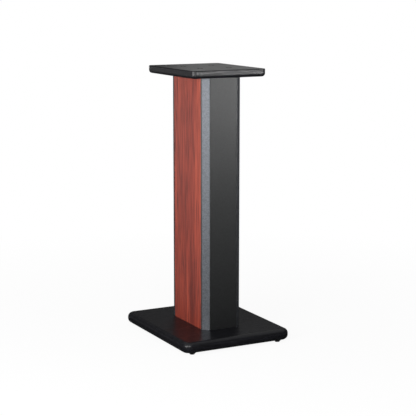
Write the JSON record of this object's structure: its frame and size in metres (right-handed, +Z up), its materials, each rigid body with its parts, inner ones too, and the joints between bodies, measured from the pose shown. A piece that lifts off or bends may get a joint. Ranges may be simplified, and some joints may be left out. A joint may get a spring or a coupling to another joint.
{
  "type": "speaker stand",
  "caption": "Free-standing speaker stand: chamfered column with wood side panels on a rounded base plate with levelling feet, under a flat top plate.",
  "frame": {"origin": "on the floor, under the middle of the stand", "axes": "+Z up, -Y to the front of the stand, +X to the stand's right as seen from the front"},
  "size_m": [0.322, 0.384, 0.74],
  "materials": {
    "black_grained_wrap": "satin black wood-grain wrap on fibreboard",
    "black_fine_textured_wrap": "fine-textured satin black wrap on fibreboard",
    "red_wood_veneer": "red-brown veneer with vertical grain, satin",
    "grey_metallic_paint": "fine grey metallic paint on fibreboard",
    "raw_fibreboard": "raw",
    "nickel_plated_steel": "plated",
    "black_oxide_steel": "black oxide",
    "zinc_plated_steel": "bright zinc",
    "black_nylon": "moulded, matte",
    "black_rubber": "moulded, matte"
  },
  "bodies": {
    "stand": {"base_plate": "black_grained_wrap", "top_plate": "black_grained_wrap", "front_panel": "black_fine_textured_wrap", "rear_panel": "black_fine_textured_wrap", "left_wood_panel": "red_wood_veneer", "right_wood_panel": "red_wood_veneer", "front_left_corner_post": "grey_metallic_paint", "front_right_corner_post": "grey_metallic_paint", "rear_left_corner_post": "grey_metallic_paint", "rear_right_corner_post": "grey_metallic_paint", "left_core_wall": "raw_fibreboard", "right_core_wall": "raw_fibreboard", "lower_column_brace": "raw_fibreboard", "middle_column_brace": "raw_fibreboard", "upper_column_brace": "raw_fibreboard", "top_plate_screws": "nickel_plated_steel", "base_bolts": "black_oxide_steel", "base_bolt_washers": "zinc_plated_steel", "top_wall_inserts": "zinc_plated_steel", "bottom_wall_inserts": "zinc_plated_steel", "foot_inserts": "zinc_plated_steel"},
    "front_left_sole": {"front_left_foot_sole": "black_rubber"},
    "front_left_screw": {"front_left_foot_stud": "zinc_plated_steel", "front_left_foot_disc": "black_nylon"},
    "front_right_sole": {"front_right_foot_sole": "black_rubber"},
    "front_right_screw": {"front_right_foot_stud": "zinc_plated_steel", "front_right_foot_disc": "black_nylon"},
    "rear_left_sole": {"rear_left_foot_sole": "black_rubber"},
    "rear_left_screw": {"rear_left_foot_stud": "zinc_plated_steel", "rear_left_foot_disc": "black_nylon"},
    "rear_right_sole": {"rear_right_foot_sole": "black_rubber"},
    "rear_right_screw": {"rear_right_foot_stud": "zinc_plated_steel", "rear_right_foot_disc": "black_nylon"}
  },
  "joints": [
    {"name": "front_left_foot_rise", "type": "slide", "parent": "stand", "child": "front_left_sole", "axis": [0, 0, -1], "range_m": [0, 0.0075]},
    {"name": "front_left_foot_turn", "type": "hinge", "parent": "front_left_sole", "child": "front_left_screw", "pos_m": [-0.13, -0.171, 0.004], "axis": [0, 0, -1], "range_deg": [0, 2160]},
    {"name": "front_right_foot_rise", "type": "slide", "parent": "stand", "child": "front_right_sole", "axis": [0, 0, -1], "range_m": [0, 0.0075]},
    {"name": "front_right_foot_turn", "type": "hinge", "parent": "front_right_sole", "child": "front_right_screw", "pos_m": [0.13, -0.171, 0.004], "axis": [0, 0, -1], "range_deg": [0, 2160]},
    {"name": "rear_left_foot_rise", "type": "slide", "parent": "stand", "child": "rear_left_sole", "axis": [0, 0, -1], "range_m": [0, 0.0075]},
    {"name": "rear_left_foot_turn", "type": "hinge", "parent": "rear_left_sole", "child": "rear_left_screw", "pos_m": [-0.13, 0.171, 0.004], "axis": [0, 0, -1], "range_deg": [0, 2160]},
    {"name": "rear_right_foot_rise", "type": "slide", "parent": "stand", "child": "rear_right_sole", "axis": [0, 0, -1], "range_m": [0, 0.0075]},
    {"name": "rear_right_foot_turn", "type": "hinge", "parent": "rear_right_sole", "child": "rear_right_screw", "pos_m": [0.13, 0.171, 0.004], "axis": [0, 0, -1], "range_deg": [0, 2160]}
  ],
  "couplings": [
    {"joint": "front_left_foot_rise", "follows": "front_left_foot_turn", "m_per_rad": 0.00019894},
    {"joint": "front_right_foot_rise", "follows": "front_right_foot_turn", "m_per_rad": 0.00019894},
    {"joint": "rear_left_foot_rise", "follows": "rear_left_foot_turn", "m_per_rad": 0.00019894},
    {"joint": "rear_right_foot_rise", "follows": "rear_right_foot_turn", "m_per_rad": 0.00019894}
  ]
}
